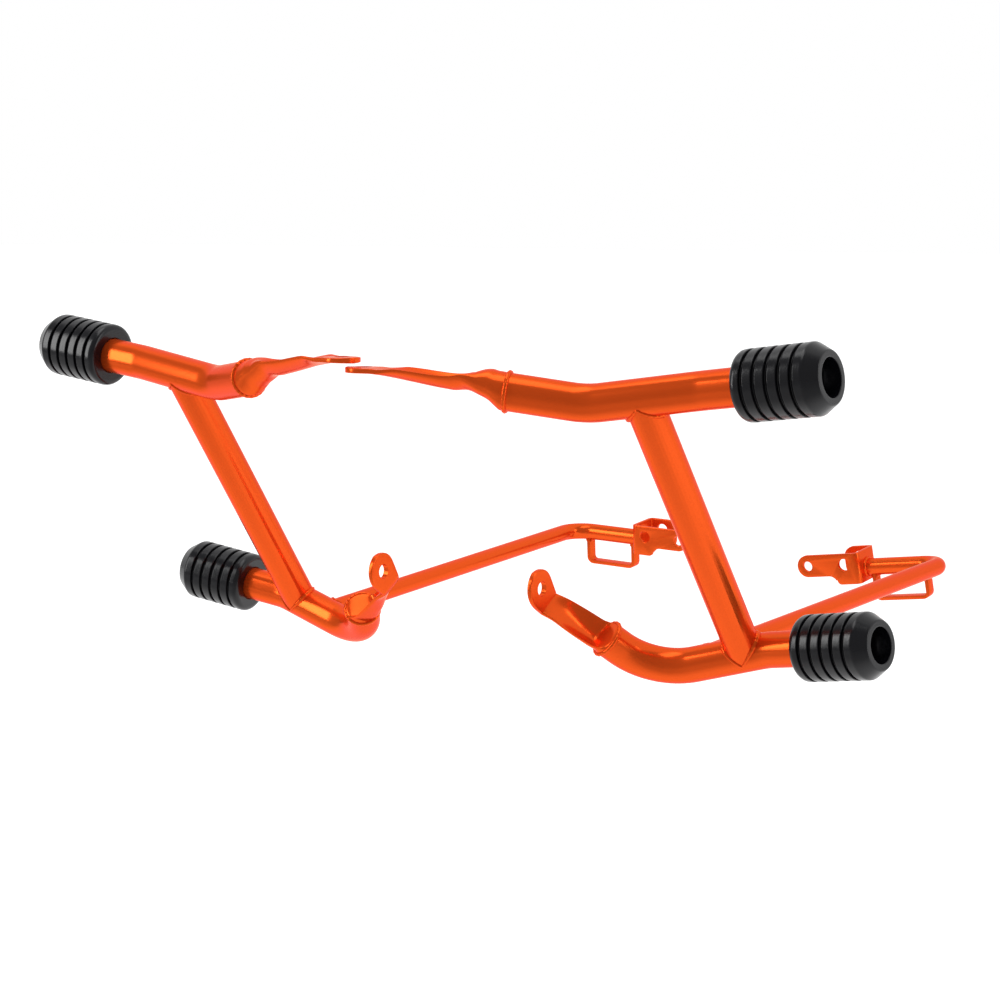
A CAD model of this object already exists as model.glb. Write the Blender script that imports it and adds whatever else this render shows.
# %% [markdown]
# A mounted pair of motorcycle crash bars: bent tubes, pressed tongues, folded brackets and
# ribbed plastic sliders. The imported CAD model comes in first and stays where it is. Each
# cell after that gives one kind of piece its real surface, and stands it in for the plain
# solid. All lengths below are in millimetres, and `MM` turns them into Blender's metres.

# %% Load the frame
import math

import bpy
from mathutils import Matrix, Vector


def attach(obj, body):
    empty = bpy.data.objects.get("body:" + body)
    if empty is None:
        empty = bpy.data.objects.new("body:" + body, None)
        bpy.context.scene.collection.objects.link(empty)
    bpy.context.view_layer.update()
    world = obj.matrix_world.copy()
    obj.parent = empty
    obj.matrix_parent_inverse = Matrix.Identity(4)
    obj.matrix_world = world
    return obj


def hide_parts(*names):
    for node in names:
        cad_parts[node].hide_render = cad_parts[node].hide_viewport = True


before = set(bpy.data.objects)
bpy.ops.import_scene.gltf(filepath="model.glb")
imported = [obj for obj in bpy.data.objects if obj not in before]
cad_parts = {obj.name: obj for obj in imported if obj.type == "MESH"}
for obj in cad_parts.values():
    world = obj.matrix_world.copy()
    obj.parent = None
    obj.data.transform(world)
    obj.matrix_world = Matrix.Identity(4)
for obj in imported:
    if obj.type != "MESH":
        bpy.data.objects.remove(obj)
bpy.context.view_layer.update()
MM = 0.001
SIDES = {"right": 1, "left": -1}
print("CAD nodes:", len(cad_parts))

# %% [markdown]
# The camera stands in front of the right half, a little above the bars, and looks down by
# seven degrees. A long lens keeps the perspective as flat as in a product photograph.

# %% Camera
CAMERA_PLACE = (957.9, -1488.9, 203.0)
CAMERA_YAW = 34.71
CAMERA_PITCH = 7.07
CAMERA_LENS = 84.85
CAMERA_SENSOR = 36
CAMERA_REACH = 50


def add_camera():
    bpy.ops.object.camera_add(
        location=[c * MM for c in CAMERA_PLACE],
        rotation=(math.radians(90 - CAMERA_PITCH), 0, math.radians(CAMERA_YAW)),
    )
    camera = bpy.context.active_object
    camera.data.lens = CAMERA_LENS
    camera.data.sensor_width = CAMERA_SENSOR
    camera.data.clip_end = CAMERA_REACH
    bpy.context.scene.camera = camera
    return camera


print("camera at", add_camera().location)

# %% [markdown]
# Every half is drawn once, for the right side, and the left side mirrors the same points.
# These are the corners where the straight runs of the tubes would meet, before bending.

# %% Driving points and sizes of the right half
TUBE_R = 12.5
TUBE_WALL = 2.0
ARM_R = 7.0
ARM_WALL = 1.5
BEND_R = 50.0
LOW_BEND_R = 46.0
ARM_BEND_R = 20.0

UP_SLIDER = Vector((264.5, -224.5, 95.0))
UP_BEND_OUT = Vector((234.5, -224.0, 91.0))
UP_BEND_IN = Vector((155.0, -233.0, 79.5))
UP_RING = Vector((108.0, -253.5, 86.5))
LOW_SLIDER = Vector((242.5, -96.5, -89.5))
LOW_BEND_OUT = Vector((211.0, -93.0, -94.5))
LOW_BEND_IN = Vector((127.0, -101.0, -118.0))
LOW_RING = Vector((107.0, -130.5, -92.0))
ARM_BEND = Vector((179.3, 270.0, -83.0))
STRUT_TOP_SHARE = 0.475
STRUT_FOOT_SHARE = 0.815
ARM_SHARE = 0.45
ARM_LIFT = 4.6
STRUT_TOP = UP_BEND_IN.lerp(UP_BEND_OUT, STRUT_TOP_SHARE)
STRUT_FOOT = LOW_BEND_IN.lerp(LOW_BEND_OUT, STRUT_FOOT_SHARE)
ARM_START = LOW_BEND_IN.lerp(LOW_BEND_OUT, ARM_SHARE) + Vector((0, 0, ARM_LIFT))
ARM_INNER_RUN = 70.0
ARM_INNER_DROP = 5.5
ARM_ROLL_DROP = 3.4
SOCKET_DEPTH = 25.0


def arm_end(side):
    run = Vector((-ARM_INNER_RUN, 0, -(ARM_INNER_DROP + side * ARM_ROLL_DROP)))
    return ARM_BEND + run.normalized() * ARM_INNER_RUN


def mirrored(point, side):
    return Vector((point.x * side, point.y, point.z))


print("strut between axes:", round((STRUT_TOP - STRUT_FOOT).length, 1), "mm")

# %% [markdown]
# The modelling helpers keep the habits that an operator needs: nothing is selected before
# a new piece is made, and a finished piece rides on the bars' one body, takes its finish
# from a slot of the record and stands in for its CAD solid.

# %% Helpers for selecting and finishing a piece
SMOOTH_ANGLE = math.radians(38)
MERGE_DISTANCE = 1e-6


def only(obj):
    bpy.ops.object.select_all(action="DESELECT")
    obj.select_set(True)
    bpy.context.view_layer.objects.active = obj


def smooth(obj, angle=SMOOTH_ANGLE):
    only(obj)
    bpy.ops.object.shade_smooth_by_angle(angle=angle)


def apply_modifier(obj, kind, name, **settings):
    only(obj)
    modifier = obj.modifiers.new(name, kind)
    for key, value in settings.items():
        setattr(modifier, key, value)
    bpy.ops.object.modifier_apply(modifier=modifier.name)


def face_outwards(obj):
    only(obj)
    bpy.ops.object.mode_set(mode="EDIT")
    bpy.ops.mesh.select_all(action="SELECT")
    bpy.ops.mesh.remove_doubles(threshold=MERGE_DISTANCE)
    bpy.ops.mesh.normals_make_consistent(inside=False)
    bpy.ops.object.mode_set(mode="OBJECT")


def stand_in(obj, node, finish):
    obj.data.materials.clear()
    obj.data.materials.append(finish)
    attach(obj, "root")
    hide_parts(node)


print("edges flatter than", round(math.degrees(SMOOTH_ANGLE)), "degrees are shaded smooth")

# %% [markdown]
# Powder coat is a plastic skin baked on steel. It is glossy but not flat: it keeps a fine
# "orange peel". Moulded plastic and plated steel have a fine grain too, so that grain
# is one node group, built once, which each finish places with its own size and depth.

# %% Fine grain, shared by all finishes
PEEL_DETAIL = 3
PATCH_SCALE = 18
PATCH_DETAIL = 2
BUMP_DISTANCE = 0.0002


def make_grain_group():
    group = bpy.data.node_groups.new("fine_grain", "ShaderNodeTree")
    group.interface.new_socket("Scale", in_out="INPUT", socket_type="NodeSocketFloat")
    group.interface.new_socket("Depth", in_out="INPUT", socket_type="NodeSocketFloat")
    group.interface.new_socket("Rough low", in_out="INPUT", socket_type="NodeSocketFloat")
    group.interface.new_socket("Rough high", in_out="INPUT", socket_type="NodeSocketFloat")
    group.interface.new_socket("Roughness", in_out="OUTPUT", socket_type="NodeSocketFloat")
    group.interface.new_socket("Normal", in_out="OUTPUT", socket_type="NodeSocketVector")
    nodes, links = group.nodes, group.links
    inputs = nodes.new("NodeGroupInput")
    outputs = nodes.new("NodeGroupOutput")
    place = nodes.new("ShaderNodeTexCoord")
    peel = nodes.new("ShaderNodeTexNoise")
    peel.inputs["Detail"].default_value = PEEL_DETAIL
    patches = nodes.new("ShaderNodeTexNoise")
    patches.inputs["Scale"].default_value = PATCH_SCALE
    patches.inputs["Detail"].default_value = PATCH_DETAIL
    bump = nodes.new("ShaderNodeBump")
    bump.inputs["Distance"].default_value = BUMP_DISTANCE
    spread = nodes.new("ShaderNodeMapRange")
    links.new(place.outputs["Object"], peel.inputs["Vector"])
    links.new(place.outputs["Object"], patches.inputs["Vector"])
    links.new(inputs.outputs["Scale"], peel.inputs["Scale"])
    links.new(inputs.outputs["Depth"], bump.inputs["Strength"])
    links.new(peel.outputs["Fac"], bump.inputs["Height"])
    links.new(patches.outputs["Fac"], spread.inputs["Value"])
    links.new(inputs.outputs["Rough low"], spread.inputs["To Min"])
    links.new(inputs.outputs["Rough high"], spread.inputs["To Max"])
    links.new(spread.outputs["Result"], outputs.inputs["Roughness"])
    links.new(bump.outputs["Normal"], outputs.inputs["Normal"])
    return group


GRAIN = make_grain_group()
print("grain group has", len(GRAIN.nodes), "nodes")

# %% [markdown]
# Three finishes cover the bars. The orange coat is partly metallic with a low index, so
# that its reflections keep the orange tint, also at the tubes' edges. The sliders are
# nearly black and rather smooth, which gives their ridges small bright glints. The bolts
# and washers are plain zinc-plated steel. Each finish is a plain shader with its own
# colour, and takes only its roughness and its normal from the grain group.

# %% Finishes
def make_finish(name, color, grain_scale, depth, rough, metallic=0.0, ior=1.5,
        edge_color=(1, 1, 1)):
    material = bpy.data.materials.new(name)
    material.use_nodes = True
    nodes, links = material.node_tree.nodes, material.node_tree.links
    shader = nodes["Principled BSDF"]
    shader.inputs["Base Color"].default_value = (*color, 1)
    shader.inputs["Metallic"].default_value = metallic
    shader.inputs["IOR"].default_value = ior
    shader.inputs["Specular Tint"].default_value = (*edge_color, 1)
    grain = nodes.new("ShaderNodeGroup")
    grain.node_tree = GRAIN
    grain.inputs["Scale"].default_value = grain_scale
    grain.inputs["Depth"].default_value = depth
    grain.inputs["Rough low"].default_value = rough[0]
    grain.inputs["Rough high"].default_value = rough[1]
    links.new(grain.outputs["Roughness"], shader.inputs["Roughness"])
    links.new(grain.outputs["Normal"], shader.inputs["Normal"])
    return material


POWDER_COAT = make_finish("orange powder coat", (0.87, 0.1, 0.014), 900, 0.1, (0.18, 0.25),
    metallic=0.6, ior=1.25, edge_color=(0.95, 0.3, 0.1))
SLIDER_PLASTIC = make_finish("black slider plastic", (0.004, 0.004, 0.006), 1400, 0.2,
    (0.16, 0.24), ior=1.4)
ZINC_STEEL = make_finish("zinc plated steel", (0.5, 0.5, 0.52), 1600, 0.2, (0.3, 0.42),
    metallic=1.0)
print("finishes:", [m.name for m in bpy.data.materials][-3:])

# %% [markdown]
# A bent tube is a straight tube pulled round a former, so its centre line is made of
# straight runs and round arcs. The arcs are drawn in short steps between the runs, which
# gives a smooth tube with no seams.

# %% Centre lines of bent tubes
ARC_STEPS = 24


def bent_line(corners, radii):
    """Points of a line through corners, with an arc of the given radius at each inner one."""
    line = [corners[0]]
    for before, corner, after, radius in zip(corners, corners[1:], corners[2:], radii):
        came = (corner - before).normalized()
        went = (after - corner).normalized()
        angle = came.angle(went)
        start = corner - came * radius * math.tan(angle / 2)
        inward = (went - came * came.dot(went)).normalized()
        centre = start + inward * radius
        for step in range(ARC_STEPS + 1):
            turn = angle * step / ARC_STEPS
            line.append(centre + came * radius * math.sin(turn) - inward * radius * math.cos(turn))
    line.append(corners[-1])
    return line


print("each bend is drawn with", ARC_STEPS, "steps")

# %% [markdown]
# The line becomes a curve with a round bevel, and the curve a mesh. Solidify then grows the
# wall inward, so that the outer diameter stays the tube's real one.

# %% Tubes along a line
TUBE_RESOLUTION = 14
BEAD_RESOLUTION = 4
THIN_BAR_R = 5


def swept(name, line, radius, sizes=None, closed=False):
    """A round bar along a line, as a mesh. sizes scales its radius at each point."""
    curve = bpy.data.curves.new(name, "CURVE")
    curve.dimensions = "3D"
    curve.twist_mode = "MINIMUM"
    curve.bevel_depth = radius * MM
    curve.bevel_resolution = TUBE_RESOLUTION if radius > THIN_BAR_R else BEAD_RESOLUTION
    curve.use_fill_caps = False
    spline = curve.splines.new("POLY")
    spline.points.add(len(line) - 1)
    for index, point in enumerate(line):
        spline.points[index].co = (*(point * MM), 1)
        spline.points[index].radius = sizes[index] if sizes else 1
    spline.use_cyclic_u = closed
    obj = bpy.data.objects.new(name, curve)
    bpy.context.collection.objects.link(obj)
    only(obj)
    bpy.ops.object.convert(target="MESH")
    return bpy.context.active_object


def tube(name, line, radius, wall):
    piece = swept(name, line, radius)
    face_outwards(piece)
    apply_modifier(piece, "SOLIDIFY", "wall", thickness=wall * MM, offset=-1,
        use_even_offset=True)
    smooth(piece)
    return piece


print("tube:", 2 * TUBE_R, "mm across with a wall of", TUBE_WALL, "mm")

# %% [markdown]
# The two main tubes of a half differ only in their corners and in one bend radius, so one
# loop sweeps them all. Each starts inside its slider, as deep as the slider's socket.

# %% Upper and lower tubes
def with_lead_in(corners, length):
    first = corners[0] + (corners[0] - corners[1]).normalized() * length
    return [first] + corners[1:]


UPPER_CORNERS = with_lead_in([UP_SLIDER, UP_BEND_OUT, UP_BEND_IN, UP_RING], SOCKET_DEPTH)
LOWER_CORNERS = with_lead_in([LOW_SLIDER, LOW_BEND_OUT, LOW_BEND_IN, LOW_RING], SOCKET_DEPTH)

for half, side in SIDES.items():
    upper = bent_line([mirrored(c, side) for c in UPPER_CORNERS], [BEND_R, BEND_R])
    lower = bent_line([mirrored(c, side) for c in LOWER_CORNERS], [BEND_R, LOW_BEND_R])
    stand_in(tube(f"{half}-upper-tube", upper, TUBE_R, TUBE_WALL), f"{half}_upper_tube",
        POWDER_COAT)
    stand_in(tube(f"{half}-lower-tube", lower, TUBE_R, TUBE_WALL), f"{half}_lower_tube",
        POWDER_COAT)
    print(half, "tubes:", len(upper), "and", len(lower), "centre-line points")

# %% [markdown]
# The strut is a straight tube, cut at both ends to the round of the tubes that it meets.
# A fitter cuts that saddle with a hole saw. Here a Boolean takes away two bars of the same
# size as the tubes, which leaves the same saddle.

# %% Struts with saddle-cut ends
BAR_CORNERS = 96
SADDLE_DEPTH = 0.05


def round_bar(name, start, end, radius):
    """A closed cylinder from start to end."""
    axis = end - start
    turn = Vector((0, 0, 1)).rotation_difference(axis)
    bpy.ops.object.select_all(action="DESELECT")
    bpy.ops.mesh.primitive_cylinder_add(vertices=BAR_CORNERS, radius=radius * MM,
        depth=axis.length * MM)
    obj = bpy.context.active_object
    obj.name = name
    place = Matrix.Translation((start + end) / 2 * MM) @ turn.to_matrix().to_4x4()
    obj.data.transform(place)
    return obj


def cut_away(obj, cutter):
    apply_modifier(obj, "BOOLEAN", "cut", object=cutter, operation="DIFFERENCE", solver="EXACT")
    bpy.data.objects.remove(cutter)


for half, side in SIDES.items():
    top, foot = mirrored(STRUT_TOP, side), mirrored(STRUT_FOOT, side)
    strut = tube(f"{half}-strut", [top, foot], TUBE_R, TUBE_WALL)
    cut_away(strut, round_bar("upper", mirrored(UP_BEND_IN, side), mirrored(UP_BEND_OUT, side),
        TUBE_R - SADDLE_DEPTH))
    cut_away(strut, round_bar("lower", mirrored(LOW_BEND_IN, side), mirrored(LOW_BEND_OUT, side),
        TUBE_R - SADDLE_DEPTH))
    smooth(strut)
    stand_in(strut, f"{half}_strut", POWDER_COAT)
    print(half, "strut:", round((top - foot).length, 1), "mm between axes")

# %% [markdown]
# The rear arm is a thinner tube that turns once, inward to its bracket. Its front end is
# saddle-cut like the strut's.

# %% Rear arms
for half, side in SIDES.items():
    corners = [mirrored(c, side) for c in (ARM_START, ARM_BEND, arm_end(side))]
    arm = tube(f"{half}-rear-arm", bent_line(corners, [ARM_BEND_R]), ARM_R, ARM_WALL)
    cut_away(arm, round_bar("lower", mirrored(LOW_BEND_IN, side), mirrored(LOW_BEND_OUT, side),
        TUBE_R - SADDLE_DEPTH))
    smooth(arm)
    stand_in(arm, f"{half}_rear_arm", POWDER_COAT)
    print(arm.name, "has", len(arm.data.polygons), "faces")

# %% [markdown]
# The end of each tube is squeezed in a press: the round section opens into a trough with
# two lips, and the trough flattens into a tongue. Hand tools make such a changing section
# badly, so this one is a loft: a list of sections, each one closed outline of the same
# number of points, joined into a skin. A smooth line through the few known sections gives
# the ones between, which is what the metal does as it flows.

# %% Sections of a pressed end
SECTION_POINTS = 96
ROWS_BETWEEN = 5


def smooth_rows(rows):
    """Rows between the known ones, on a smooth curve that never overshoots them."""
    out = []
    for index in range(len(rows) - 1):
        a, b = rows[index], rows[index + 1]
        before = rows[index - 1] if index else a
        after = rows[index + 2] if index + 2 < len(rows) else b
        steps = ROWS_BETWEEN
        for step in range(steps):
            t = step / steps
            row = [a[0] + (b[0] - a[0]) * t]
            for k in range(1, len(a)):
                row.append(flow(before, a, b, after, k, t))
            out.append(row)
    return out + [list(rows[-1])]


def flow(before, a, b, after, k, t):
    span = b[0] - a[0]
    slope = (b[k] - a[k]) / span
    left = (a[k] - before[k]) / (a[0] - before[0]) if a[0] > before[0] else slope
    right = (after[k] - b[k]) / (after[0] - b[0]) if after[0] > b[0] else slope
    m0 = 0 if left * slope <= 0 else 2 * left * slope / (left + slope)
    m1 = 0 if right * slope <= 0 else 2 * right * slope / (right + slope)
    t2, t3 = t * t, t * t * t
    return ((2 * t3 - 3 * t2 + 1) * a[k] + (t3 - 2 * t2 + t) * m0 * span
        + (3 * t2 - 2 * t3) * b[k] + (t3 - t2) * m1 * span)


def section(centre, axis, up, half_width, middle, lip, half_height, roundness, shift=0.0):
    sideways = up.cross(axis).normalized()
    normal = axis.normalized().cross(sideways)
    points = []
    for index in range(SECTION_POINTS):
        angle = 2 * math.pi * (index + 0.5) / SECTION_POINTS
        across, rise = math.cos(angle), math.sin(angle)
        height = middle + lip * across ** 2
        height += half_height * math.copysign(abs(rise) ** roundness, rise)
        points.append(centre + sideways * (half_width * across + shift) + normal * height)
    return points


def loft(name, sections):
    count = SECTION_POINTS
    corners = [tuple(p * MM) for ring in sections for p in ring]
    faces = []
    for ring in range(len(sections) - 1):
        for k in range(count):
            a, b = ring * count + k, ring * count + (k + 1) % count
            faces.append((a, b, b + count, a + count))
    last = (len(sections) - 1) * count
    faces.append(tuple(reversed(range(count))))
    faces.append(tuple(range(last, last + count)))
    mesh = bpy.data.meshes.new(name)
    mesh.from_pydata(corners, [], faces)
    obj = bpy.data.objects.new(name, mesh)
    bpy.context.collection.objects.link(obj)
    face_outwards(obj)
    return obj


print("each section has", SECTION_POINTS, "points")

# %% [markdown]
# The upper tongue is a long one: its trough opens upward right behind the weld ring and
# runs out into a flat end with one bolt hole. The two upper tongues lie one on the other
# on the motorcycle, so each leaves its tube at the same height and drifts up or down.

# %% Upper tongues
TONGUE_R = 12.5
PRESSED = 4.0
HOLE_D = 10.5
UP_HOLE = Vector((9.3, -275.2, 0))
UP_RISE = 14.4
UP_STACK = 3.0
UP_LENGTH = math.hypot(UP_RING.x - UP_HOLE.x, UP_RING.y - UP_HOLE.y)
UP_TURN = 20.0
AXIS_TURN = 30.0
END_ANGLES = (12, 24, 36, 48, 58, 67, 75, 82, 87)
HOLE_SMOOTH_ANGLE = math.radians(50)
# distance from the ring, half width, height of the middle, rise of the lips, half height,
# roundness, share of the stacking height
UP_ROWS = [
    (0, TUBE_R, 0, 0, TUBE_R, 1, 0),
    (3, TUBE_R, 0.41, 0, TUBE_R, 1, 0),
    (7, TUBE_R, 2, 0, TUBE_R - 1, 1, 0),
    (12, TUBE_R, 4.6, 0, TUBE_R - 2.4, 0.95, 0.05),
    (17, TUBE_R + 0.3, 5.8, 0.5, TUBE_R - 3.9, 0.9, 0.15),
    (23, TUBE_R + 0.6, 6.4, 3, TUBE_R - 6.3, 0.75, 0.3),
    (29, TUBE_R + 0.7, 5, 6.4, TUBE_R - 9.3, 0.6, 0.45),
    (35, TUBE_R + 0.5, 3.8, 7.4, PRESSED / 2, 0.45, 0.6),
    (42, TUBE_R + 0.5, 4.8, 6.6, PRESSED / 2, 0.45, 0.7),
    (52, TUBE_R + 0.5, 6.6, 6, PRESSED / 2, 0.45, 0.8),
    (63, TUBE_R + 0.4, 8.8, 5.4, PRESSED / 2, 0.45, 0.9),
    (74, TONGUE_R + 0.3, 11, 4.4, PRESSED / 2, 0.4, 1),
    (81, TONGUE_R + 0.1, 12.2, 2.6, PRESSED / 2, 0.35, 1),
    (UP_LENGTH - 13, TONGUE_R, UP_RISE - 0.9, 0.7, PRESSED / 2, 0.25, 1),
    (UP_LENGTH - 8, TONGUE_R, UP_RISE, 0, PRESSED / 2, 0.2, 1),
    (UP_LENGTH, TONGUE_R, UP_RISE, 0, PRESSED / 2, 0.2, 1),
]


print("upper tongue:", round(UP_LENGTH, 1), "mm from ring to hole")

# %% [markdown]
# Each row becomes one section, placed along the tongue's way and turned slowly from the
# tube's direction to the hole's. The bolt hole is drilled last, with a Boolean.

# %% Build the upper tongues
def flat(vector):
    return Vector((vector.x, vector.y, 0)).normalized()


def upper_tongue(half, side):
    to_hole = flat(UP_HOLE - UP_RING)
    leaving = flat(UP_RING - UP_BEND_IN)
    tube_way = (UP_RING - UP_BEND_IN).normalized()
    rows = smooth_rows(UP_ROWS)
    for degrees in END_ANGLES:
        angle = math.radians(degrees)
        rows.append([UP_LENGTH + TONGUE_R * math.sin(angle), TONGUE_R * math.cos(angle),
            UP_RISE, 0, PRESSED / 2, 0.2, 1])
    rings = []
    for distance, width, middle, lip, height, roundness, share in rows:
        centre = Vector((UP_RING.x, UP_RING.y, UP_RING.z - side * UP_STACK * share))
        centre += to_hole * distance
        if distance < UP_TURN:
            centre += (leaving - to_hole) * distance * (1 - distance / UP_TURN) ** 2
        axis = tube_way.lerp(to_hole, min(1, distance / AXIS_TURN)).normalized()
        ring = section(centre, axis, Vector((0, 0, 1)), width, middle, lip, height, roundness)
        rings.append([mirrored(p, side) for p in ring])
    piece = loft(f"{half}-upper-tongue", rings)
    level = UP_RING.z + UP_RISE - side * UP_STACK
    hole = mirrored(Vector((UP_HOLE.x, UP_HOLE.y, level)), side)
    drill_through(piece, hole, Vector((0, 0, PRESSED)))
    return piece


def drill_through(piece, centre, half_span):
    cut_away(piece, round_bar("drill", centre - half_span, centre + half_span, HOLE_D / 2))
    smooth(piece, HOLE_SMOOTH_ANGLE)


for half, side in SIDES.items():
    tongue = upper_tongue(half, side)
    stand_in(tongue, f"{half}_upper_tongue", POWDER_COAT)
    print(tongue.name, "has", len(tongue.data.polygons), "faces")

# %% [markdown]
# The lower tube's end is pressed the same way, but its trough faces outward and its floor
# folds up into a tongue that stands along the motorcycle.

# %% Lower tongues
LOW_TONGUE_R = 13.5
LOW_HOLE = Vector((68.6, -157.0, -57.0))
FOLD_ANGLE = math.radians(32)
FOLD_BACK = 10.5
FOLD_DOWN = 12.0
FOLD_HALF = 10.5
LOW_PULL = 5.0
UPRIGHT_FROM = 0.75
TONGUE_STEPS = 10
FOLD_WAY = Vector((0, math.cos(FOLD_ANGLE), math.sin(FOLD_ANGLE)))
TONGUE_WAY = Vector((0, -math.sin(FOLD_ANGLE), math.cos(FOLD_ANGLE)))
FOLD_MID = LOW_HOLE + Vector((0, FOLD_BACK, -FOLD_DOWN))
LOW_OUT = (LOW_RING - LOW_BEND_IN).normalized()
LOW_IN = (FOLD_MID - LOW_RING).normalized()
TROUGH_UP = FOLD_WAY.cross(LOW_IN).normalized()
HOLE_SIDE = -FOLD_BACK * math.cos(FOLD_ANGLE) + FOLD_DOWN * math.sin(FOLD_ANGLE)
HOLE_UP = FOLD_BACK * math.sin(FOLD_ANGLE) + FOLD_DOWN * math.cos(FOLD_ANGLE)
# share of the way to the fold, then as for the upper tongue
LOW_ROWS = [
    (0, TUBE_R, 0, 0, TUBE_R, 1),
    (0.03, TUBE_R, 0, 0, TUBE_R, 1),
    (0.07, TUBE_R, -0.8, 1, TUBE_R - 0.9, 0.95),
    (0.12, TUBE_R, -3.6, 4, TUBE_R - 3.8, 0.85),
    (0.18, TUBE_R, -7, 7.6, TUBE_R - 7.4, 0.7),
    (0.25, TUBE_R, -9.4, 9.8, PRESSED / 2 + 0.8, 0.6),
    (0.35, TUBE_R, -10, 9.6, PRESSED / 2, 0.5),
    (0.58, TUBE_R, -8, 7.8, PRESSED / 2, 0.5),
    (0.75, TUBE_R - 0.4, -4.6, 5, PRESSED / 2, 0.45),
    (0.9, FOLD_HALF + 0.6, -1.2, 2.2, PRESSED / 2, 0.4),
    (1, FOLD_HALF, 0, 0, PRESSED / 2, 0.3),
]


print("lower tongue:", round((FOLD_MID - LOW_RING).length, 1), "mm from ring to fold")

# %% [markdown]
# The trough's middle line leaves the ring straight and then bends to the fold, so it is
# drawn as a line with one control point. Above the fold the tongue's edges run out to its
# round end, which is concentric with the bolt hole.

# %% Build the lower tongues
def low_centre(t):
    pulled = LOW_RING + LOW_OUT * LOW_PULL
    return LOW_RING.lerp(pulled, t).lerp(pulled.lerp(FOLD_MID, t), t)


def tongue_edge(height, way):
    """Sideways place of the tongue's edge at a height over the fold."""
    if height >= HOLE_UP:
        reach = max(0, LOW_TONGUE_R ** 2 - (height - HOLE_UP) ** 2)
        return HOLE_SIDE + way * math.sqrt(reach)
    ease = math.sin(math.pi / 2 * height / HOLE_UP)
    start = way * FOLD_HALF
    return start + (HOLE_SIDE + way * LOW_TONGUE_R - start) * ease


def lower_tongue(half, side):
    outward = Vector((1, 0, 0))
    rings = []
    for t, width, middle, lip, height, roundness in smooth_rows(LOW_ROWS):
        axis = LOW_OUT.lerp(LOW_IN, min(1, 2 * t)).normalized()
        up = TROUGH_UP.lerp(outward, max(0, t - UPRIGHT_FROM) * 2).normalized()
        rings.append(section(low_centre(t), axis, up, width, middle, lip, height, roundness))
    heights = [HOLE_UP * k / TONGUE_STEPS for k in range(1, TONGUE_STEPS + 1)]
    heights += [HOLE_UP + LOW_TONGUE_R * math.sin(math.radians(d)) for d in END_ANGLES]
    way = outward.cross(TONGUE_WAY).dot(FOLD_WAY)
    for height in heights:
        far, near = tongue_edge(height, 1), tongue_edge(height, -1)
        rings.append(section(FOLD_MID + TONGUE_WAY * height, TONGUE_WAY, outward,
            (far - near) / 2, 0, 0, PRESSED / 2, 0.2, way * (far + near) / 2))
    piece = loft(f"{half}-lower-tongue", [[mirrored(p, side) for p in r] for r in rings])
    drill_through(piece, mirrored(LOW_HOLE, side), Vector((PRESSED, 0, 0)))
    return piece


for half, side in SIDES.items():
    tongue = lower_tongue(half, side)
    stand_in(tongue, f"{half}_lower_tongue", POWDER_COAT)
    print(tongue.name, "has", len(tongue.data.polygons), "faces")

# %% [markdown]
# A hand-laid weld bead is a row of small overlapping pools. A bevelled curve gives that
# when its radius swells and narrows along the way. Powder coat rounds the steps off, so
# they stay shallow. The bead lies half inside the tubes, as the molten pool did.

# %% Weld beads
SADDLE_BEAD_R = 2.4
FLUSH_BEAD = 0.35
RING_BEAD_R = 1.5
POOL_LENGTH = 3.4
POOL_SWELL = 0.14
POINTS_PER_POOL = 5
FEWEST_POOLS = 3
POOL_FRONT = 1.4
SADDLE_STRETCH = 2.3
REAR_BEAD_SET = 0.4
BEAD_SMOOTH_ANGLE = math.radians(60)


def pooled(count, pools):
    """Radius factors of a bead with that many pools; each one has a steep front."""
    sizes = []
    for index in range(count):
        phase = (index * pools / count) % 1
        swell = math.sin(math.pi * phase ** POOL_FRONT) - 0.5
        sizes.append(1 + POOL_SWELL * swell)
    return sizes


def pool_count(length):
    return max(FEWEST_POOLS, round(length / POOL_LENGTH))


def bead(name, line, radius, sizes=None):
    """A closed bead along a line; sizes scales it at each point, where it has to thin out."""
    length = sum((a - b).length for a, b in zip(line, line[1:] + line[:1]))
    factors = pooled(len(line), pool_count(length))
    if sizes:
        factors = [f * size for f, size in zip(factors, sizes)]
    piece = swept(name, line, radius, factors, closed=True)
    face_outwards(piece)
    smooth(piece, BEAD_SMOOTH_ANGLE)
    return piece


print("weld pools are", POOL_LENGTH, "mm long")

# %% [markdown]
# A bead needs the line it runs along. Round a tube that is a circle. Where one tube ends on
# another it is a saddle: each point of the small circle is moved along the small tube until
# it lies on the big one. Where the two walls run flush there is no room for a bead, so it
# thins out there.

# %% Lines where tubes meet
def bead_points(length):
    return POINTS_PER_POOL * pool_count(length)


def ring_line(centre, axis, radius):
    axis = axis.normalized()
    first = axis.orthogonal().normalized()
    second = axis.cross(first)
    count = bead_points(2 * math.pi * radius)
    line = []
    for index in range(count):
        angle = 2 * math.pi * index / count
        line.append(centre + (first * math.cos(angle) + second * math.sin(angle)) * radius)
    return line


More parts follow.
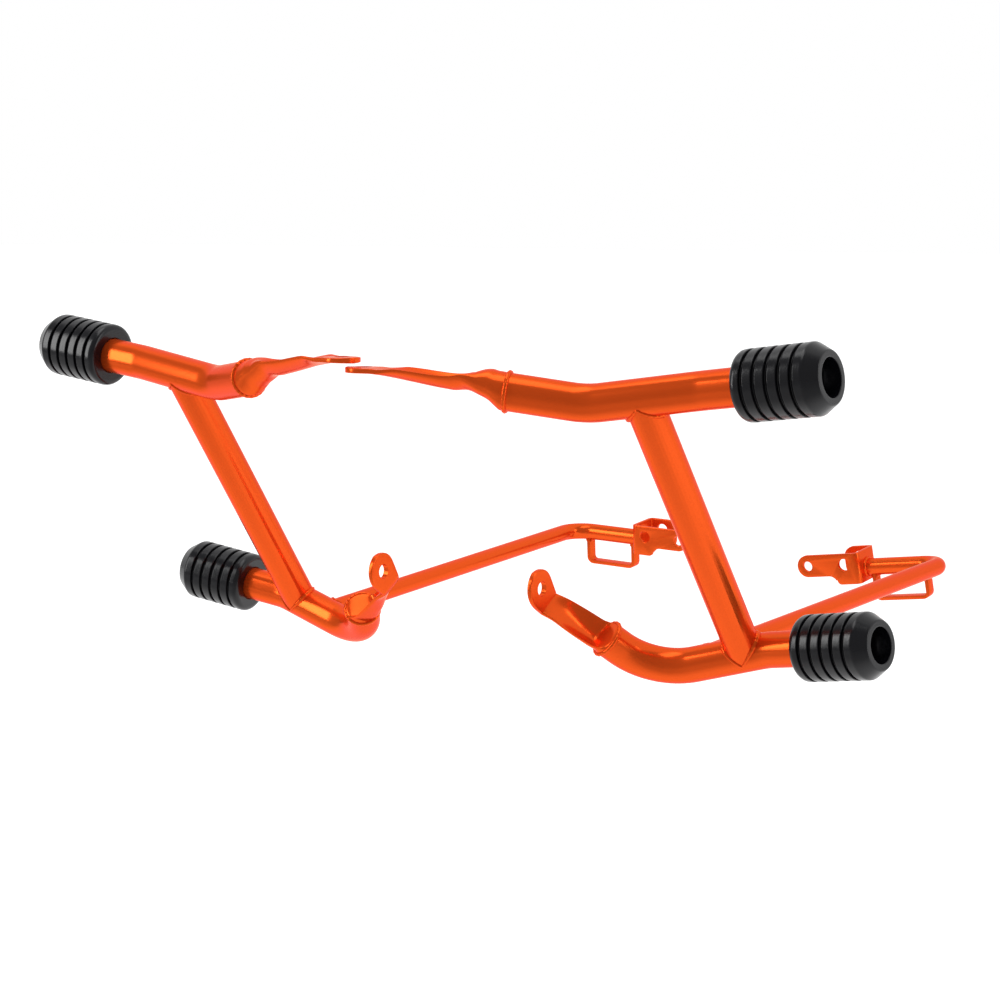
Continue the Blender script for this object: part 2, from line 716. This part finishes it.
def saddle_line(on, way, start, end, radius, big):
    """Where the bar from start to end meets a tube of radius big, and the bead's size there."""
    axis = (start - end).normalized()
    first = way.cross(axis).normalized()
    second = axis.cross(first)
    tube_way = way.normalized()
    count = bead_points(SADDLE_STRETCH * math.pi * radius)
    line, sizes = [], []
    for index in range(count):
        angle = 2 * math.pi * index / count
        outward = first * math.cos(angle) + second * math.sin(angle)
        edge = end + outward * radius - on
        u = axis - tube_way * axis.dot(tube_way)
        v = edge - tube_way * edge.dot(tube_way)
        a, b, c = u.dot(u), 2 * u.dot(v), v.dot(v) - big * big
        along = (-b + math.sqrt(max(0, b * b - 4 * a * c))) / (2 * a)
        line.append(on + edge + axis * along)
        wall = edge + axis * along
        wall = (wall - tube_way * wall.dot(tube_way)).normalized()
        sizes.append(FLUSH_BEAD + (1 - FLUSH_BEAD) * min(1, 1 - outward.dot(wall)))
    return line, sizes


def saddle_bead(name, on, way, start, end, radius):
    line, sizes = saddle_line(on, way, start, end, radius, TUBE_R)
    return bead(name, line, SADDLE_BEAD_R, sizes)


print("beads thin out to", FLUSH_BEAD, "of their size where the walls run flush")

# %% [markdown]
# Each kind of weld on a half is one node in the CAD model, so its beads are joined into one
# piece here as well.

# %% Beads on both halves
def joined(name, pieces):
    bpy.ops.object.select_all(action="DESELECT")
    for piece in pieces:
        piece.select_set(True)
    bpy.context.view_layer.objects.active = pieces[0]
    bpy.ops.object.join()
    pieces[0].name = name
    return pieces[0]


for half, side in SIDES.items():
    up_in, up_out = mirrored(UP_BEND_IN, side), mirrored(UP_BEND_OUT, side)
    low_in, low_out = mirrored(LOW_BEND_IN, side), mirrored(LOW_BEND_OUT, side)
    top, foot = mirrored(STRUT_TOP, side), mirrored(STRUT_FOOT, side)
    up_ring, low_ring = mirrored(UP_RING, side), mirrored(LOW_RING, side)
    start, turn = mirrored(ARM_START, side), mirrored(ARM_BEND, side)
    inner = mirrored(arm_end(side), side)
    rear = inner + (turn - inner).normalized() * REAR_BEAD_SET
    rings = [
        bead("upper", ring_line(up_ring, up_ring - up_in, TUBE_R), RING_BEAD_R),
        bead("lower", ring_line(low_ring, low_ring - low_in, TUBE_R), RING_BEAD_R),
    ]
    stand_in(joined(f"{half}-tongue-welds", rings), f"{half}_tongue_welds",
        POWDER_COAT)
    saddles = [
        saddle_bead("top", up_in, up_out - up_in, foot, top, TUBE_R),
        saddle_bead("foot", low_in, low_out - low_in, top, foot, TUBE_R),
    ]
    stand_in(joined(f"{half}-strut-welds", saddles), f"{half}_strut_welds",
        POWDER_COAT)
    arm_beads = [
        saddle_bead("front", low_in, low_out - low_in, turn, start, ARM_R),
        bead("rear", ring_line(rear, inner - turn, ARM_R), RING_BEAD_R),
    ]
    stand_in(joined(f"{half}-arm-welds", arm_beads), f"{half}_arm_welds",
        POWDER_COAT)
print("weld beads laid on both halves")

# %% [markdown]
# The sliders are turned from black plastic: a round shoulder, five grooves with softened
# edges, a plain band, a cone and a deep recess for the bolt. Turning is what Blender's Spin
# does: half of the section is drawn once and swept round the axis.

# %% Slider section
SLIDER_R = 22.7
SLIDER_LENGTH = 59.0
SHOULDER_R = 4.0
GROOVE_COUNT = 5
GROOVE_FIRST = 8.5
GROOVE_PITCH = 8.6
GROOVE_WIDTH = 2.6
GROOVE_DEPTH = 2.6
EDGE_ROUND = 0.5
LAND = 0.15
ROUND_STEPS = 4
CONE_LENGTH = 9.0
END_R = 16.8
RECESS_R = 12.3
RECESS_DEPTH = 24.0
SOCKET_R = 12.7
BOLT_HOLE_R = 4.5
SPIN_STEPS = 128
TURNED_SMOOTH_ANGLE = math.radians(32)


def rounded(corners):
    """The outline through corners of (radius, height, rounding), each one rounded off."""
    points = []
    count = len(corners)
    for index, (r, h, rounding) in enumerate(corners):
        corner = Vector((r, h))
        before = Vector(corners[index - 1][:2]) - corner
        after = Vector(corners[(index + 1) % count][:2]) - corner
        before.normalize()
        after.normalize()
        points.append(corner + before * (rounding + LAND))
        for step in range(ROUND_STEPS + 1):
            t = step / ROUND_STEPS
            points.append(corner + before * rounding * (1 - t) ** 2 + after * rounding * t ** 2)
        points.append(corner + after * (rounding + LAND))
    return points


def slider_outline():
    corners = [(SOCKET_R, SOCKET_DEPTH, 0.2), (SOCKET_R, 0, 0.8), (SLIDER_R, 0, SHOULDER_R)]
    for index in range(GROOVE_COUNT):
        middle = GROOVE_FIRST + index * GROOVE_PITCH
        low, high = middle - GROOVE_WIDTH / 2, middle + GROOVE_WIDTH / 2
        corners += [(SLIDER_R, low, EDGE_ROUND), (SLIDER_R - GROOVE_DEPTH, low, EDGE_ROUND),
            (SLIDER_R - GROOVE_DEPTH, high, EDGE_ROUND), (SLIDER_R, high, EDGE_ROUND)]
    return rounded(corners + [(SLIDER_R, SLIDER_LENGTH - CONE_LENGTH, 1.0),
        (END_R, SLIDER_LENGTH, 0.8), (RECESS_R, SLIDER_LENGTH, 0.7),
        (RECESS_R, SLIDER_LENGTH - RECESS_DEPTH, 0.6),
        (BOLT_HOLE_R, SLIDER_LENGTH - RECESS_DEPTH, 0.2), (BOLT_HOLE_R, SOCKET_DEPTH, 0.2)])


print("slider outline has", len(slider_outline()), "points")

# %% [markdown]
# Spin sweeps the outline once round the axis. Its start and its end lie on each other, so
# the doubles are merged before the normals are turned outward.

# %% Turning a slider
def turned_slider(name, start, way):
    outline = [(r * MM, 0, h * MM) for r, h in slider_outline()]
    count = len(outline)
    mesh = bpy.data.meshes.new(name)
    mesh.from_pydata(outline, [(k, (k + 1) % count) for k in range(count)], [])
    piece = bpy.data.objects.new(name, mesh)
    bpy.context.collection.objects.link(piece)
    only(piece)
    bpy.ops.object.mode_set(mode="EDIT")
    bpy.ops.mesh.select_all(action="SELECT")
    bpy.ops.mesh.spin(steps=SPIN_STEPS, angle=2 * math.pi, center=(0, 0, 0), axis=(0, 0, 1))
    bpy.ops.object.mode_set(mode="OBJECT")
    face_outwards(piece)
    turn = Vector((0, 0, 1)).rotation_difference(way).to_matrix().to_4x4()
    piece.data.transform(Matrix.Translation(start * MM) @ turn)
    smooth(piece, TURNED_SMOOTH_ANGLE)
    return piece


print("a full turn takes", SPIN_STEPS, "steps")

# %% [markdown]
# All four sliders come from one mould. Each is turned at the origin and then laid along
# the last straight run of its tube, with its face at the tube's driving point.

# %% Four sliders
SLIDER_SEATS = {
    "upper": (UP_SLIDER, UP_BEND_OUT),
    "lower": (LOW_SLIDER, LOW_BEND_OUT),
}

for half, side in SIDES.items():
    for level, (face, inner) in SLIDER_SEATS.items():
        start = mirrored(face, side)
        slider = turned_slider(f"{half}-{level}-slider", start, start - mirrored(inner, side))
        stand_in(slider, f"{half}_{level}_slider", SLIDER_PLASTIC)
print("slider faces:", len(slider.data.polygons))

# %% [markdown]
# Brackets, loops and fasteners keep the CAD's exact form. A merged copy of each gets its
# flat faces back from the triangles, and then a small bevel: pressed and sheared steel has
# no knife edges, and the bevel is what catches the light.

# %% Softened copies of the CAD solids
FLAT_ANGLE = math.radians(0.5)
SHARP_ANGLE = math.radians(40)
BEVEL_SMOOTH_ANGLE = math.radians(30)


def softened(node, width):
    piece = bpy.data.objects.new(node.replace("_", "-"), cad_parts[node].data.copy())
    bpy.context.collection.objects.link(piece)
    only(piece)
    bpy.ops.object.mode_set(mode="EDIT")
    bpy.ops.mesh.select_all(action="SELECT")
    bpy.ops.mesh.remove_doubles(threshold=MERGE_DISTANCE)
    bpy.ops.mesh.dissolve_limited(angle_limit=FLAT_ANGLE)
    bpy.ops.object.mode_set(mode="OBJECT")
    apply_modifier(piece, "BEVEL", "softened edges", width=width * MM, segments=3,
        limit_method="ANGLE", angle_limit=SHARP_ANGLE, use_clamp_overlap=True)
    smooth(piece, BEVEL_SMOOTH_ANGLE)
    return piece


SOFTENED = {
    "rear_bracket": (0.5, "powder_coat", POWDER_COAT),
    "guide_loop": (0.6, "powder_coat", POWDER_COAT),
    "loop_welds": (0.2, "powder_coat", POWDER_COAT),
    "slider_bolts": (0.25, "zinc_steel", ZINC_STEEL),
    "slider_washers": (0.2, "zinc_steel", ZINC_STEEL),
    "tube_plugs": (0.3, "zinc_steel", ZINC_STEEL),
}
for half in SIDES:
    for kind, (width, slot, finish) in SOFTENED.items():
        stand_in(softened(f"{half}_{kind}", width), f"{half}_{kind}", finish)
print("softened copies:", len(SOFTENED) * len(SIDES))

# %% [markdown]
# The bars hang free in a plain white studio, as in a catalogue picture. A backdrop behind
# them and the floor below are white, to the camera and in reflections. The room in front
# is darker, and that is what draws the dark bands along the glossy tubes.

# %% White backdrop and darker room
BACKDROP_WAY = (0, 1, 0)
BACKDROP_LEVEL = 1.0
ROOM_LEVEL = 0.36
BACKDROP_EDGE = (-0.05, 0.12)
WHITE = (1, 1, 1, 1)


def new_math(nodes, operation):
    node = nodes.new("ShaderNodeMath")
    node.operation = operation
    return node


def make_world():
    world = bpy.data.worlds.new("studio")
    world.use_nodes = True
    nodes, links = world.node_tree.nodes, world.node_tree.links
    place = nodes.new("ShaderNodeTexCoord")
    towards = nodes.new("ShaderNodeVectorMath")
    towards.operation = "DOT_PRODUCT"
    towards.inputs[1].default_value = BACKDROP_WAY
    level = nodes.new("ShaderNodeMapRange")
    level.interpolation_type = "SMOOTHSTEP"
    level.inputs["From Min"].default_value = BACKDROP_EDGE[0]
    level.inputs["From Max"].default_value = BACKDROP_EDGE[1]
    level.inputs["To Min"].default_value = ROOM_LEVEL
    level.inputs["To Max"].default_value = BACKDROP_LEVEL
    path = nodes.new("ShaderNodeLightPath")
    seen = new_math(nodes, "MAXIMUM")
    links.new(place.outputs["Generated"], towards.inputs[0])
    links.new(towards.outputs["Value"], level.inputs["Value"])
    links.new(level.outputs["Result"], seen.inputs[0])
    links.new(path.outputs["Is Camera Ray"], seen.inputs[1])
    clear = new_math(nodes, "MAXIMUM")
    links.new(seen.outputs["Value"], clear.inputs[0])
    links.new(path.outputs["Is Transmission Ray"], clear.inputs[1])
    background = nodes["Background"]
    background.inputs["Color"].default_value = WHITE
    links.new(clear.outputs["Value"], background.inputs["Strength"])
    return world


bpy.context.scene.world = make_world()
print("world:", bpy.context.scene.world.name)

# %% [markdown]
# The floor carries the object's soft shadow. It glows a little for the camera and for
# reflections behind the bars, so that it runs into the white backdrop with no edge. Seen
# from below it is clear, so that it never hides the bars.

# %% Floor
FLOOR_LEVEL = -0.46
FLOOR_SIZE = 60
FLOOR_COLOR = (0.6, 0.6, 0.6, 1)
FLOOR_ROUGHNESS = 0.9
FLOOR_SHEEN = 0.1
FLOOR_LIFT = 0.8
PAPER_EDGE = (-0.6, -0.2)


def clear_from_below(nodes, links, shader):
    """A camera under the floor looks through it."""
    side = nodes.new("ShaderNodeNewGeometry")
    clear = nodes.new("ShaderNodeBsdfTransparent")
    mix = nodes.new("ShaderNodeMixShader")
    links.new(side.outputs["Backfacing"], mix.inputs["Fac"])
    links.new(shader.outputs["BSDF"], mix.inputs[1])
    links.new(clear.outputs["BSDF"], mix.inputs[2])
    links.new(mix.outputs["Shader"], nodes["Material Output"].inputs["Surface"])


def make_floor():
    bpy.ops.object.select_all(action="DESELECT")
    bpy.ops.mesh.primitive_plane_add(size=FLOOR_SIZE, location=(0, 0, FLOOR_LEVEL))
    floor = bpy.context.active_object
    floor.name = "floor"
    paper = bpy.data.materials.new("white paper")
    paper.use_nodes = True
    nodes, links = paper.node_tree.nodes, paper.node_tree.links
    shader = nodes["Principled BSDF"]
    shader.inputs["Base Color"].default_value = FLOOR_COLOR
    shader.inputs["Roughness"].default_value = FLOOR_ROUGHNESS
    shader.inputs["Specular IOR Level"].default_value = FLOOR_SHEEN
    shader.inputs["Emission Color"].default_value = WHITE
    path = nodes.new("ShaderNodeLightPath")
    place = nodes.new("ShaderNodeTexCoord")
    split = nodes.new("ShaderNodeSeparateXYZ")
    behind = nodes.new("ShaderNodeMapRange")
    behind.inputs["From Min"].default_value = PAPER_EDGE[0]
    behind.inputs["From Max"].default_value = PAPER_EDGE[1]
    mirrored_white = new_math(nodes, "MULTIPLY")
    seen = new_math(nodes, "MAXIMUM")
    lift = new_math(nodes, "MULTIPLY")
    lift.inputs[1].default_value = FLOOR_LIFT
    links.new(place.outputs["Object"], split.inputs["Vector"])
    links.new(split.outputs["Y"], behind.inputs["Value"])
    links.new(behind.outputs["Result"], mirrored_white.inputs[0])
    links.new(path.outputs["Is Glossy Ray"], mirrored_white.inputs[1])
    links.new(path.outputs["Is Camera Ray"], seen.inputs[0])
    links.new(mirrored_white.outputs["Value"], seen.inputs[1])
    links.new(seen.outputs["Value"], lift.inputs[0])
    links.new(lift.outputs["Value"], shader.inputs["Emission Strength"])
    clear_from_below(nodes, links, shader)
    floor.data.materials.append(paper)
    return floor


print("floor at", make_floor().location.z)

# %% [markdown]
# Two tall soft boxes stand at the left and at the right in front of the bars, and a third
# hangs over them. They give the long bright bands at the sides of the tubes.

# %% Lamps
LAMPS = {
    "left box": ((-1.3, -1.4, 0.6), (0.4, 1.5), 14),
    "right box": ((1.9, 0.1, 0.4), (0.4, 1.6), 8),
    "top box": ((-0.2, -0.4, 1.8), (1.6, 0.8), 9),
}


def add_lamp(name, place, size, power):
    bpy.ops.object.light_add(type="AREA", location=place)
    lamp = bpy.context.active_object
    lamp.name = name
    lamp.data.shape = "RECTANGLE"
    lamp.data.size, lamp.data.size_y = size
    lamp.data.energy = power
    lamp.rotation_euler = (-Vector(place)).to_track_quat("-Z", "Y").to_euler()
    return lamp


for name, (place, size, power) in LAMPS.items():
    add_lamp(name, place, size, power)
bpy.context.scene.view_settings.view_transform = "Standard"
print("lamps:", ", ".join(LAMPS))

# %% [markdown]
# At the end the whole visual model is measured against the CAD model. A piece that grew
# past the solids would show here, before anything is exported.

bpy.context.view_layer.update()
